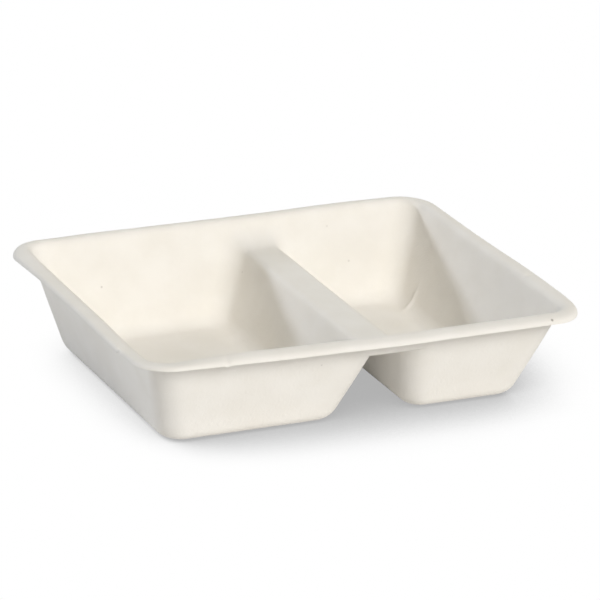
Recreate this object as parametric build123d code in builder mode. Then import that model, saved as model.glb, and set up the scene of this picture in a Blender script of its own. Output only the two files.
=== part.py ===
from build123d import *
import os
from math import cos, radians, tan

# Two-compartment takeaway tray, moulded in one piece from sugar-cane pulp.
# Millimetres, +Z up. X runs along the tray, from the large well to the small one.
# The origin is on the table, under the middle of the rim.

# Overall size
LENGTH = 230.0
WIDTH = 165.0
HEIGHT = 48.0

# Pressed sheet of one thickness, with drafted walls and a rounded base
WALL = 0.9
SIDE_DRAFT = 18.0
WALL_CORNER = 12.3
BASE_RADIUS = 9.0

# Flange round the top, with a rounded neck, bevelled underneath, and a lip that turns down
FLANGE = 7.1
RIM_CORNER = 17.0
NECK_RADIUS = 3.9
NECK_BEVEL = 1.2
LIP_DEPTH = 1.7
LIP_RADIUS = 1.5

# Hollow divider, open underneath. Its two sides and its top are given on the underside
DIVIDER_TOP = 34.8
DIVIDER_LEFT_X = 8.0
DIVIDER_RIGHT_X = 25.0
DIVIDER_LEFT_DRAFT = 19.7
DIVIDER_RIGHT_DRAFT = 14.1
DIVIDER_CREST_RADIUS = 3.0
DIVIDER_END_RADIUS = 11.0

# How close a face lies to the height that it is picked by
NEAR = 0.01

os.makedirs("parts", exist_ok=True)


def sheet_shift(angle, inset):
    """Sideways shift of a wall drafted by angle, between its top corner and the one inset into the sheet."""
    return inset / cos(radians(angle)) - inset * tan(radians(angle))


def pressed_form(inset, crest_radius):
    """Solid up to one face of the sheet: the underside at inset 0, the food side at WALL."""
    left_crest = DIVIDER_LEFT_X - sheet_shift(DIVIDER_LEFT_DRAFT, inset)
    right_crest = DIVIDER_RIGHT_X + sheet_shift(DIVIDER_RIGHT_DRAFT, inset)
    crest_z = DIVIDER_TOP + inset
    left_foot = left_crest - crest_z * tan(radians(DIVIDER_LEFT_DRAFT))
    right_foot = right_crest + crest_z * tan(radians(DIVIDER_RIGHT_DRAFT))
    margin = FLANGE + sheet_shift(SIDE_DRAFT, inset)

    # Drafted block for both wells together, drawn at the rim
    with BuildPart() as form:
        rim_plane = Plane.XY.offset(HEIGHT + inset)
        with BuildSketch(rim_plane):
            Rectangle(LENGTH - 2 * margin, WIDTH - 2 * margin)
        extrude(amount=-HEIGHT)
        draft(form.faces().filter_by(Axis.Z, reverse=True), rim_plane, -SIDE_DRAFT)
        corner_edges = form.edges().group_by(Axis.Z)[1]
        fillet(corner_edges, WALL_CORNER - inset)

        # Channel under the divider, which parts the block into two wells
        with BuildSketch(Plane.XZ):
            with BuildLine():
                Polyline(
                    (left_foot, 0),
                    (left_crest, crest_z),
                    (right_crest, crest_z),
                    (right_foot, 0),
                    close=True,
                )
            make_face()
        extrude(amount=WIDTH, both=True, mode=Mode.SUBTRACT)
        if crest_radius:
            crest = form.faces().filter_by_position(Axis.Z, crest_z - NEAR, crest_z + NEAR)
            fillet(crest.edges().filter_by(Axis.Y), crest_radius)

        # The divider's sides flow into the long walls at both ends
        end_edges = form.edges().filter_by_position(Axis.X, left_foot, right_foot)
        end_edges = end_edges.filter_by(Plane.XY, reverse=True)
        fillet(end_edges, DIVIDER_END_RADIUS - inset)

        # Rounded edge round the base of each well
        floors = form.faces().filter_by_position(Axis.Z, inset - NEAR, inset + NEAR)
        fillet(floors.edges(), BASE_RADIUS - inset)
    return form.part


with BuildPart() as tray:
    # Underside, where the channel's roof meets the long walls in a crisp edge
    add(pressed_form(inset=0, crest_radius=0))

    # Flat flange, bevelled into the walls below it
    flange_z = HEIGHT - WALL
    with BuildSketch(Plane.XY.offset(flange_z)):
        RectangleRounded(LENGTH, WIDTH, RIM_CORNER)
    extrude(amount=WALL)
    flange_under = tray.faces().filter_by_position(Axis.Z, flange_z - NEAR, flange_z + NEAR)[0]
    chamfer(flange_under.inner_wires()[0].edges(), NECK_BEVEL)

    # Lip at the edge of the flange
    with BuildSketch(Plane.XY.offset(HEIGHT - LIP_DEPTH)):
        RectangleRounded(LENGTH, WIDTH, RIM_CORNER)
        RectangleRounded(LENGTH - 2 * WALL, WIDTH - 2 * WALL, RIM_CORNER - WALL, mode=Mode.SUBTRACT)
    extrude(amount=LIP_DEPTH - WALL)

    # The food side leaves one sheet thickness, and the rim is rounded on both edges
    add(pressed_form(inset=WALL, crest_radius=DIVIDER_CREST_RADIUS), mode=Mode.SUBTRACT)
    rim_top = tray.faces().sort_by(Axis.Z)[-1]
    fillet(rim_top.inner_wires()[0].edges(), NECK_RADIUS)
    rim_top = tray.faces().sort_by(Axis.Z)[-1]
    fillet(rim_top.outer_wire().edges(), LIP_RADIUS)

tray.part.label = "tray"
export_step(tray.part, "parts/tray.step")
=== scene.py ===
import math

import bpy
import numpy as np
from mathutils import Matrix, Vector, noise


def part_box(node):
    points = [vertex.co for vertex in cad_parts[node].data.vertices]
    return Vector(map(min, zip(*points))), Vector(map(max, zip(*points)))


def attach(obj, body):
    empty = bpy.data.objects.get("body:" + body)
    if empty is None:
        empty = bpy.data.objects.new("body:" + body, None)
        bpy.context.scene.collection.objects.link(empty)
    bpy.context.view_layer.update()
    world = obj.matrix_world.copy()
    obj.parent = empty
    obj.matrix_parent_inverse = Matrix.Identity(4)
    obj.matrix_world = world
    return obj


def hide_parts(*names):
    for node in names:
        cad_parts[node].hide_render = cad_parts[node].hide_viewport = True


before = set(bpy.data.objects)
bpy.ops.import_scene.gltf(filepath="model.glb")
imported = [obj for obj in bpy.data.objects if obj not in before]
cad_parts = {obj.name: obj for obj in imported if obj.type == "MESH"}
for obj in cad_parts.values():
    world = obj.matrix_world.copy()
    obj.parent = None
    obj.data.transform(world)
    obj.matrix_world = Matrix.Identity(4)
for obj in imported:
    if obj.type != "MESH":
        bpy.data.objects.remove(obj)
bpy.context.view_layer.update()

# The tray's sheet: wet sugar-cane pulp, pressed in one piece between two heated moulds.
# Each side of the sheet is one grid, laid over that mould's flat faces and rounded edges,
# and the two sides meet in the trimmed lower edge of the lip.
SHEET = 0.0009
SIDE_DRAFT = math.radians(18)
WALL_CORNER = 0.0123
RIGHT_CORNER = 0.0105
BASE_RADIUS = 0.009
FLANGE = 0.0071
RIM_CORNER = 0.017
NECK_RADIUS = 0.0039
LIP_DEPTH = 0.0017
LIP_RADIUS = 0.0015
DIVIDER_TOP = 0.0348
DIVIDER_LEFT = 0.008
DIVIDER_RIGHT = 0.025
LEFT_DRAFT = math.radians(19.7)
RIGHT_DRAFT = math.radians(14.1)
CREST_RADIUS = 0.003
END_RADIUS = 0.011
ROOF_BEND_START = 0.0653
ROOF_BEND_SHARE = 0.7
NOTCH_RISE = 0.0021
HALVINGS = 30
WELD = 1e-6
SHARP_ANGLE = math.radians(33)

# The grid's spacing, its lines near the rim's edge by their distance in from it, where a line
# that comes twice makes a step, and the lines that the small knocks need
GRID_STEP = 0.0015
SECTION_STEP = 0.0001
LIP_LINES = (0, 0, 0.0002, 0.0007, 0.0013, 0.002)
UNDER_LINES = (0, SHEET, SHEET, 0.0012, 0.0016)
NICK_LINES = (-0.0762, -0.0748)
FOLD_LINES = (-0.0515, -0.0506, -0.0498, -0.0489)
CREASE_LINES = (-0.0330, -0.0322, -0.0314)
PINCH_LINES = (0.0419, 0.0426, 0.0433, 0.0440, 0.0447)

half_length, half_width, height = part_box("tray")[1]


def rounded(a, b, radius, turn):
    """Distance to the edge where two faces meet at that turn, rounded off to the radius."""
    lean = math.cos(turn)
    u = a + radius
    v = b + radius
    arc = np.sqrt(np.maximum(u * u + v * v - 2 * lean * u * v, 0)) / math.sin(turn) - radius
    return np.where((u > lean * v) & (v > lean * u), arc, np.maximum(a, b))


def joined(a, b, radius, turn):
    """As rounded, for two bodies that are joined and not cut."""
    return -rounded(-a, -b, radius, turn)


def roof_rise(y):
    """How much the channel's roof bends up towards the long walls, with the sheet above it."""
    bend = np.clip(np.abs(y) - ROOF_BEND_START, 0, END_RADIUS * ROOF_BEND_SHARE)
    return END_RADIUS - np.sqrt(END_RADIUS**2 - bend**2)


def mould_face(x, y, z, inset):
    """Distance to the mould's face: the underside at inset 0, the food side one sheet further in."""
    upright = math.pi / 2
    lean = upright - SIDE_DRAFT
    rise = (height - z) * math.tan(SIDE_DRAFT)
    end_wall = (np.abs(x) - (half_length - FLANGE) + rise) * math.cos(SIDE_DRAFT) + inset
    long_wall = (np.abs(y) - (half_width - FLANGE) + rise) * math.cos(SIDE_DRAFT) + inset
    corner_turn = math.acos(math.sin(SIDE_DRAFT) ** 2)
    corner = np.where(x > 0, RIGHT_CORNER, WALL_CORNER) - inset
    walls = rounded(end_wall, long_wall, corner, corner_turn)

    drop = DIVIDER_TOP - z
    left = (x - DIVIDER_LEFT + drop * math.tan(LEFT_DRAFT)) * math.cos(LEFT_DRAFT) + inset
    right = (DIVIDER_RIGHT - x + drop * math.tan(RIGHT_DRAFT)) * math.cos(RIGHT_DRAFT) + inset
    crest = drop + inset
    if inset:
        # The food side runs over the divider in one rounded crest
        over = joined(left, crest, CREST_RADIUS, upright - LEFT_DRAFT)
        over = joined(over, right, CREST_RADIUS, upright - RIGHT_DRAFT)
        wells = rounded(walls, over, END_RADIUS - inset, corner_turn)
    else:
        # Underneath, the channel's roof meets the long walls in a crisp edge
        beside = rounded(walls, np.minimum(left, right), END_RADIUS, corner_turn)
        roof = crest + roof_rise(y)
        wells = np.minimum(beside, np.maximum(walls, roof))
    form = rounded(wells, inset - z, BASE_RADIUS - inset, lean)
    flange = height - SHEET + inset - z
    return joined(form, flange, NECK_RADIUS - SHEET + inset, lean)


def mould_height(x, y, inset):
    """Height of the mould's face over each point of the plan, found by halving."""
    below = np.full(x.shape, -SHEET)
    above = np.full(x.shape, height + SHEET)
    for _ in range(HALVINGS):
        middle = (below + above) / 2
        under = mould_face(x, y, middle, inset) > 0
        below = np.where(under, middle, below)
        above = np.where(under, above, middle)
    return (below + above) / 2


def even_lines(reach, section):
    """Places along one axis that are evenly spaced along the section, up the walls too."""
    places = np.arange(-reach, reach, SECTION_STEP)
    rises = np.diff(section(places))
    travel = np.concatenate([[0], np.cumsum(np.hypot(SECTION_STEP, rises))])
    steps = round(travel[-1] / GRID_STEP)
    return np.interp(np.linspace(0, travel[-1], steps + 1), travel, places)


lines_x = even_lines(
    half_length - LIP_LINES[-1],
    lambda places: mould_height(places, np.zeros_like(places), SHEET),
)
lines_y = even_lines(
    half_width - LIP_LINES[-1],
    lambda places: mould_height(np.full_like(places, -half_length / 2), places, SHEET),
)
lines_x = np.sort(np.append(lines_x, NICK_LINES))
lines_y = np.sort(np.append(lines_y, FOLD_LINES + CREASE_LINES + PINCH_LINES))

# Drying has warped the rim: each place with its reach, the lift of the wall's top, the turn
# of the flange's edge, and how far the wall has moved back. The lift grows from the foot
# to the head, and the turn fades out over its width, in from the edge
RIM_WARPS = (
    (Vector((0.080, 0.080)), 0.040, 0.0013, -0.0006, 0.0024),
    (Vector((-0.030, 0.080)), 0.055, 0.0010, -0.0018, 0.0020),
    (Vector((-0.110, 0.076)), 0.020, 0.0008, -0.0022, 0),
    (Vector((-0.106, -0.075)), 0.014, 0, 0.0022, 0),
    (Vector((-0.112, -0.052)), 0.018, -0.0016, 0, 0),
    (Vector((-0.084, -0.080)), 0.022, 0.0011, 0, 0),
    (Vector((-0.055, -0.080)), 0.026, 0.0009, 0, 0),
    (Vector((0.020, -0.080)), 0.045, 0.0004, 0, 0),
    (Vector((0.113, -0.032)), 0.038, 0.0012, 0, 0),
    (Vector((0.113, 0.030)), 0.035, 0.0006, -0.0012, 0),
)
RIM_FOOT = 0.020
RIM_HEAD = 0.046
TURN_WIDTH = 0.0085

# The back of the small well's base has lifted off the table a little
BASE_WARP = Vector((0.080, 0.070))
BASE_WARP_REACH = 0.034
BASE_LIFT = 0.0016

# Along the front the whole flange rolls over into a bead, and not only its lip
ROLL_WIDTH = 0.0055
ROLL_DEPTH = 0.0031
ROLL_LIFT = 0.0004
ROLL_START = 0.055
ROLL_END = 0.075

# Small knocks: a fold, a nick and a crease in the rim, and a pinch at the foot of the small well,
# with the place of each, its reach along and across the tray, and its lift
KNOCKS = (
    (Vector((-0.1135, -0.0508)), (0.0040, 0.0010), 0.0006),
    (Vector((-0.1135, -0.0490)), (0.0040, 0.0009), -0.0006),
    (Vector((-0.0755, -0.0815)), (0.0010, 0.0020), -0.0009),
    (Vector((0.1108, -0.0322)), (0.0028, 0.0009), -0.0006),
    (Vector((0.0922, 0.0433)), (0.0028, 0.0013), 0.0017),
)

# The sheet is nowhere quite flat: each wave's length and swing, and the height over which
# the waves fade out on the underside, so that the base stands on the table
WAVES = ((0.040, 0.00022), (0.011, 0.00007))
BASE_CLEAR = 0.012


def eased(part):
    """Part of the way from 0 to 1, slow at both ends."""
    part = np.clip(part, 0, 1)
    return part * part * (3 - 2 * part)


def roll(edge, width, depth):
    """How far a rounded edge has dropped, at that distance in from it."""
    return depth * (1 - np.sqrt(1 - np.clip(1 - edge / width, 0, 1) ** 2))


def nearness(x, y, place, reach):
    """1 at the place, falling off with the distance from it."""
    return np.exp(-((x - place.x) ** 2 + (y - place.y) ** 2) / (2 * reach**2))


def warped(x, y, z, edge, inset):
    """The points of one side of the sheet, moved as drying and handling have moved the tray."""
    on_rim = eased((z - RIM_FOOT) / (RIM_HEAD - RIM_FOOT))
    turned = np.clip(1 - edge / TURN_WIDTH, 0, 1) ** 2
    rise = np.zeros_like(z)
    lean = np.zeros_like(z)
    for place, reach, lift, turn, out in RIM_WARPS:
        near = nearness(x, y, place, reach)
        rise += near * (on_rim * lift + turned * turn)
        lean += near * (1 - turned) * out
    rise += nearness(x, y, BASE_WARP, BASE_WARP_REACH) * (1 - on_rim) * BASE_LIFT
    front = eased((-y - ROLL_START) / (ROLL_END - ROLL_START))
    rise -= front * (roll(edge, ROLL_WIDTH, ROLL_DEPTH) - roll(edge, LIP_RADIUS, LIP_RADIUS))
    rise += front * on_rim * ROLL_LIFT
    for place, reach, lift in KNOCKS:
        rise += lift * np.exp(-(((x - place.x) / reach[0]) ** 2) - ((y - place.y) / reach[1]) ** 2)
    loose = 1 if inset else eased(z / BASE_CLEAR)
    for length, swing in WAVES:
        spots = zip((x / length).ravel(), (y / length).ravel())
        swell = np.array([noise.noise((across, along, length)) for across, along in spots])
        rise += swing * loose * swell.reshape(x.shape)
    return np.stack([x, y + lean, z + rise], axis=-1)


def sheet_plan(margins):
    """Plan of the grid's points, with its outermost lines in from the rim's edge by the margins."""
    margins = np.array(margins)
    along_x = np.concatenate([margins - half_length, lines_x, half_length - margins[::-1]])
    along_y = np.concatenate([margins - half_width, lines_y, half_width - margins[::-1]])
    return np.meshgrid(along_x, along_y)


def sheet_side(name, inset, margins, lip_lines):
    """One side of the sheet, with that many of its outermost lines on the lip's lower edge."""
    x, y = sheet_plan(margins)
    if not inset:
        # A line runs along the crisp upper edge of each notch
        notch = half_width - FLANGE - (height - DIVIDER_TOP - NOTCH_RISE) * math.tan(SIDE_DRAFT)
        rows = y[:, 0]
        y[np.abs(rows - notch).argmin()] = notch
        y[np.abs(rows + notch).argmin()] = -notch

    # The rim's corners are round, so the lines swing round them, alike on both sides
    core_x = half_length - RIM_CORNER
    core_y = half_width - RIM_CORNER
    shared_x, shared_y = sheet_plan(LIP_LINES[:-1])
    a = np.maximum(np.abs(shared_x) - core_x, 0)
    b = np.maximum(np.abs(shared_y) - core_y, 0)
    longest = np.maximum(a, b)
    swing = np.where(a >= b, b, longest * 2 - a) / np.where(longest > 0, longest, 1) * math.pi / 4
    reach = np.maximum(np.abs(x) - core_x, np.abs(y) - core_y)
    in_corner = (a > 0) & (b > 0)
    x = np.where(in_corner, np.sign(x) * (core_x + reach * np.cos(swing)), x)
    y = np.where(in_corner, np.sign(y) * (core_y + reach * np.sin(swing)), y)
    z = mould_height(x, y, inset)

    # The flange's edge rolls over into the lip
    from_sides = np.minimum(half_length - np.abs(x), half_width - np.abs(y))
    edge = np.where(in_corner, RIM_CORNER - reach, from_sides)
    if inset:
        z = z - roll(edge, LIP_RADIUS, LIP_RADIUS)
    for line in range(lip_lines):
        for border in (np.s_[line, :], np.s_[-1 - line, :], np.s_[:, line], np.s_[:, -1 - line]):
            z[border] = height - LIP_DEPTH
    points = warped(x, y, z, edge, inset)

    bpy.ops.object.select_all(action="DESELECT")
    bpy.ops.mesh.primitive_grid_add(x_subdivisions=x.shape[1] - 1, y_subdivisions=x.shape[0] - 1)
    side = bpy.context.object
    side.name = name
    side.data.vertices.foreach_set("co", points.ravel())
    return side


food_side = sheet_side("pulp_tray", inset=SHEET, margins=LIP_LINES[:-1], lip_lines=1)
underside = sheet_side("underside", inset=0, margins=UNDER_LINES, lip_lines=2)
bpy.ops.object.select_all(action="DESELECT")
underside.select_set(True)
food_side.select_set(True)
bpy.context.view_layer.objects.active = food_side
bpy.ops.object.join()
tray = food_side
bpy.ops.object.mode_set(mode="EDIT")
bpy.ops.mesh.select_all(action="SELECT")
bpy.ops.mesh.remove_doubles(threshold=WELD)
bpy.ops.mesh.normals_make_consistent(inside=False)
bpy.ops.object.mode_set(mode="OBJECT")
bpy.ops.object.shade_smooth_by_angle(angle=SHARP_ANGLE)

# The pulp's finish: pale, warm and matt, with cloudy thick and thin places,
# short fibres pressed flat, and a few specks of cane rind left in the pulp.
PULP_PALE = (0.935, 0.905, 0.848, 1)
PULP_DEEP = (0.905, 0.872, 0.808, 1)
FIBRE = (0.80, 0.75, 0.66, 1)
RIND = (0.16, 0.12, 0.08, 1)
GLOSS = 0.3
ROUGH_SMOOTH = 0.72
ROUGH_COARSE = 0.95
ROUGH_RANGE = (0.3, 0.9)
CLOUD_SCALE = 55
CLOUD_DETAIL = 4
CLOUD_RANGE = (0.35, 0.65)
FIBRE_SCALE = 420
FIBRE_DETAIL = 3
FIBRE_RANGE = (0.62, 0.95)
FIBRE_DEPTH = 0.35
GRAIN_SCALE = 1500
GRAIN_DETAIL = 2
SPECK_SCALE = 55
SPECK_SIZE = 0.028
SPECK_CORE = 0.4
SPECK_RARITY = 0.9
SPECK_DEPTH = 0.2
BUMP_DEPTH = 0.00012
FIBRE_RELIEF = 0.6
GRAIN_RELIEF = 0.4

# Specks that are large enough to be seen one by one: each one's place, size and depth of colour
SPOT_CORE = 0.5
SPECKS = (
    (Vector((0.0940, -0.0813, 0.0475)), 0.0009, 0.6),
    (Vector((-0.0678, 0.0684, 0.0246)), 0.0007, 0.25),
    (Vector((0.0680, 0.0681, 0.0226)), 0.0008, 0.16),
    (Vector((0.0571, 0.0741, 0.0402)), 0.0008, 0.11),
    (Vector((0.0040, 0.0604, 0.0271)), 0.0006, 0.15),
    (Vector((-0.0214, -0.0713, 0.0355)), 0.0006, 0.25),
)

pulp = bpy.data.materials.new("pressed_pulp")
pulp.use_nodes = True
nodes = pulp.node_tree.nodes
links = pulp.node_tree.links
shader = nodes["Principled BSDF"]
shader.inputs["Specular IOR Level"].default_value = GLOSS
place = nodes.new("ShaderNodeTexCoord").outputs["Object"]


def grain(scale, detail, kind):
    """A noise over the sheet, from 0 to 1."""
    texture = nodes.new("ShaderNodeTexNoise")
    texture.noise_type = kind
    texture.normalize = True
    texture.inputs["Scale"].default_value = scale
    texture.inputs["Detail"].default_value = detail
    links.new(place, texture.inputs["Vector"])
    return texture.outputs["Fac"]


def spread(value, low, high, to_low, to_high):
    """The value's range from low to high, drawn out to another range."""
    step = nodes.new("ShaderNodeMapRange")
    step.inputs["From Min"].default_value = low
    step.inputs["From Max"].default_value = high
    step.inputs["To Min"].default_value = to_low
    step.inputs["To Max"].default_value = to_high
    links.new(value, step.inputs["Value"])
    return step.outputs["Result"]


def combine(operation, first, second):
    """One step of arithmetic on two values, each linked or given as a number."""
    step = nodes.new("ShaderNodeMath")
    step.operation = operation
    for socket, value in zip(step.inputs, (first, second)):
        if isinstance(value, float):
            socket.default_value = value
        else:
            links.new(value, socket)
    return step.outputs["Value"]


# The mix node's sockets for colours come after those for numbers and vectors
MIX_FIRST = 6
MIX_SECOND = 7
MIX_RESULT = 2


def tint(amount, first, second):
    """First colour, turned into the second by the amount."""
    step = nodes.new("ShaderNodeMix")
    step.data_type = "RGBA"
    links.new(amount, step.inputs["Factor"])
    for number, colour in ((MIX_FIRST, first), (MIX_SECOND, second)):
        socket = step.inputs[number]
        if isinstance(colour, tuple):
            socket.default_value = colour
        else:
            links.new(colour, socket)
    return step.outputs[MIX_RESULT]


clouds = grain(CLOUD_SCALE, CLOUD_DETAIL, "FBM")
fibres = grain(FIBRE_SCALE, FIBRE_DETAIL, "RIDGED_MULTIFRACTAL")
fine = grain(GRAIN_SCALE, GRAIN_DETAIL, "FBM")

colour = tint(spread(clouds, *CLOUD_RANGE, 0, 1), PULP_PALE, PULP_DEEP)
colour = tint(spread(fibres, *FIBRE_RANGE, 0, FIBRE_DEPTH), colour, FIBRE)

cells = nodes.new("ShaderNodeTexVoronoi")
cells.inputs["Scale"].default_value = SPECK_SCALE
links.new(place, cells.inputs["Vector"])
picked = nodes.new("ShaderNodeSeparateColor")
links.new(cells.outputs["Color"], picked.inputs["Color"])
close = spread(cells.outputs["Distance"], SPECK_SIZE * SPECK_CORE, SPECK_SIZE, 1, 0)
chosen = combine("GREATER_THAN", picked.outputs["Red"], SPECK_RARITY)
specks = combine("MULTIPLY", combine("MULTIPLY", close, chosen), SPECK_DEPTH)
for spot, size, depth in SPECKS:
    distance = nodes.new("ShaderNodeVectorMath")
    distance.operation = "DISTANCE"
    distance.inputs[1].default_value = spot
    links.new(place, distance.inputs[0])
    mark = spread(distance.outputs["Value"], size * SPOT_CORE, size, depth, 0)
    specks = combine("MAXIMUM", specks, mark)
colour = tint(specks, colour, RIND)
links.new(colour, shader.inputs["Base Color"])
roughness = spread(fibres, *ROUGH_RANGE, ROUGH_COARSE, ROUGH_SMOOTH)
links.new(roughness, shader.inputs["Roughness"])

fibre_relief = combine("MULTIPLY", fibres, FIBRE_RELIEF)
grain_relief = combine("MULTIPLY", fine, GRAIN_RELIEF)
relief = combine("ADD", fibre_relief, grain_relief)
bump = nodes.new("ShaderNodeBump")
bump.inputs["Distance"].default_value = BUMP_DEPTH
links.new(relief, bump.inputs["Height"])
links.new(bump.outputs["Normal"], shader.inputs["Normal"])
tray.data.materials.append(pulp)

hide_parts("tray")
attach(tray, "root")

# The studio floor: a wide white sheet that bounces the lamps' light. Seen by the camera,
# it is plain white and darkens only where the tray stands over it.
FLOOR_SIZE = 8.0
FLOOR_GAP = 0.0002
FLOOR_COLOUR = (0.8, 0.8, 0.8, 1)

# The tray's shadow: how far it reaches, the openness at its dark and pale ends with the white
# that each gets, and the way that the open sky leans
SHADOW_REACH = 0.12
SHADOW_OPENNESS = (0.12, 0.68)
SHADOW_WHITENESS = (0.44, 1.0)
SHADOW_LEAN = (-0.35, 0.02, 1)


def seen_rays(nodes, links):
    """1 for what the camera sees, in a mirror and through glass too, and 0 for light that bounces."""
    rays = nodes.new("ShaderNodeLightPath")
    mirrored = nodes.new("ShaderNodeMath")
    links.new(rays.outputs["Is Camera Ray"], mirrored.inputs[0])
    links.new(rays.outputs["Is Glossy Ray"], mirrored.inputs[1])
    seen = nodes.new("ShaderNodeMath")
    seen.use_clamp = True
    links.new(mirrored.outputs["Value"], seen.inputs[0])
    links.new(rays.outputs["Is Transmission Ray"], seen.inputs[1])
    return seen.outputs["Value"]


bpy.ops.object.select_all(action="DESELECT")
bpy.ops.mesh.primitive_plane_add(size=FLOOR_SIZE, location=(0, 0, -FLOOR_GAP))
floor = bpy.context.object
floor.name = "studio_floor"
white = bpy.data.materials.new("white_floor")
white.use_nodes = True
nodes = white.node_tree.nodes
links = white.node_tree.links
nodes.clear()
paint = nodes.new("ShaderNodeBsdfDiffuse")
paint.inputs["Color"].default_value = FLOOR_COLOUR
open_sky = nodes.new("ShaderNodeAmbientOcclusion")
open_sky.inputs["Distance"].default_value = SHADOW_REACH
facing = nodes.new("ShaderNodeCombineXYZ")
for socket, value in zip(facing.inputs, Vector(SHADOW_LEAN).normalized()):
    socket.default_value = value
links.new(facing.outputs["Vector"], open_sky.inputs["Normal"])
whiteness = nodes.new("ShaderNodeMapRange")
whiteness.interpolation_type = "SMOOTHSTEP"
whiteness.inputs["From Min"].default_value = SHADOW_OPENNESS[0]
whiteness.inputs["From Max"].default_value = SHADOW_OPENNESS[1]
whiteness.inputs["To Min"].default_value = SHADOW_WHITENESS[0]
whiteness.inputs["To Max"].default_value = SHADOW_WHITENESS[1]
glow = nodes.new("ShaderNodeEmission")
choice = nodes.new("ShaderNodeMixShader")
surface = nodes.new("ShaderNodeOutputMaterial")
links.new(open_sky.outputs["AO"], whiteness.inputs["Value"])
links.new(whiteness.outputs["Result"], glow.inputs["Strength"])
links.new(seen_rays(nodes, links), choice.inputs["Fac"])
links.new(paint.outputs["BSDF"], choice.inputs[1])
links.new(glow.outputs["Emission"], choice.inputs[2])
links.new(choice.outputs["Shader"], surface.inputs["Surface"])
floor.data.materials.append(white)

# The light: a soft key lamp in front, broad weak ones beside it and on the right, a cool narrow
# one low behind on the left, which draws the shadow edges, and a straw-coloured one high behind.
WHITE = (1, 1, 1)
WARM = (1, 0.985, 0.965)
COOL = (0.82, 0.88, 1)
STRAW = (1, 1, 0.86)
BROAD = math.radians(45)
SOFT = math.radians(25)
NARROW = math.radians(6)
ROOM_STRENGTH = 0.12

world = bpy.data.worlds.new("white_room")
bpy.context.scene.world = world
world.use_nodes = True
nodes = world.node_tree.nodes
links = world.node_tree.links
room = nodes["Background"]
room.inputs["Strength"].default_value = ROOM_STRENGTH
backdrop = nodes.new("ShaderNodeBackground")
for background in (room, backdrop):
    background.inputs["Color"].default_value = (*WHITE, 1)
choice = nodes.new("ShaderNodeMixShader")
links.new(seen_rays(nodes, links), choice.inputs["Fac"])
links.new(room.outputs["Background"], choice.inputs[1])
links.new(backdrop.outputs["Background"], choice.inputs[2])
links.new(choice.outputs["Shader"], nodes["World Output"].inputs["Surface"])


def sun(name, side, strength, colour, angle):
    """A lamp far off on that side of the tray, as wide as the angle."""
    lamp = bpy.data.lights.new(name, "SUN")
    lamp.energy = strength
    lamp.color = colour
    lamp.angle = angle
    holder = bpy.data.objects.new(name, lamp)
    holder.rotation_euler = Vector(side).to_track_quat("Z", "Y").to_euler()
    bpy.context.scene.collection.objects.link(holder)


sun("key_lamp", side=(0.05, -1, 0.8), strength=1.87, colour=WARM, angle=SOFT)
sun("front_right_lamp", side=(0.8, -1, 0.26), strength=0.44, colour=WARM, angle=BROAD)
sun("front_left_lamp", side=(-0.65, -1, 0.26), strength=0.32, colour=WARM, angle=BROAD)
sun("right_lamp", side=(1, 0, 0.3), strength=0.2, colour=WHITE, angle=BROAD)
sun("back_lamp", side=(-0.85, 1, 0.36), strength=1.14, colour=COOL, angle=NARROW)
sun("top_lamp", side=(0.3, 0.8, 0.7), strength=0.52, colour=STRAW, angle=BROAD)

# The camera: a long lens at the front left, nearly two metres off and slightly turned.
# It looks down into the wells at a low angle, so that the front wall and the notch show too.
AZIMUTH = math.radians(-29.084)
ELEVATION = math.radians(22.198)
CAMERA_ROLL = math.radians(4.626)
DISTANCE = 1.75083
AIM = Vector((0.018644, 0.026224, 0.024093))
LENS = 216.84
SENSOR = 36

camera_data = bpy.data.cameras.new("camera")
camera_data.lens = LENS
camera_data.sensor_width = SENSOR
camera = bpy.data.objects.new("camera", camera_data)
back = Vector((
    math.sin(AZIMUTH) * math.cos(ELEVATION),
    -math.cos(AZIMUTH) * math.cos(ELEVATION),
    math.sin(ELEVATION),
))
turn = back.to_track_quat("Z", "Y").to_matrix().to_4x4() @ Matrix.Rotation(CAMERA_ROLL, 4, "Z")
camera.matrix_world = Matrix.Translation(AIM + back * DISTANCE) @ turn
bpy.context.scene.collection.objects.link(camera)
bpy.context.scene.camera = camera
bpy.context.scene.view_settings.view_transform = "Standard"

bpy.context.view_layer.update()
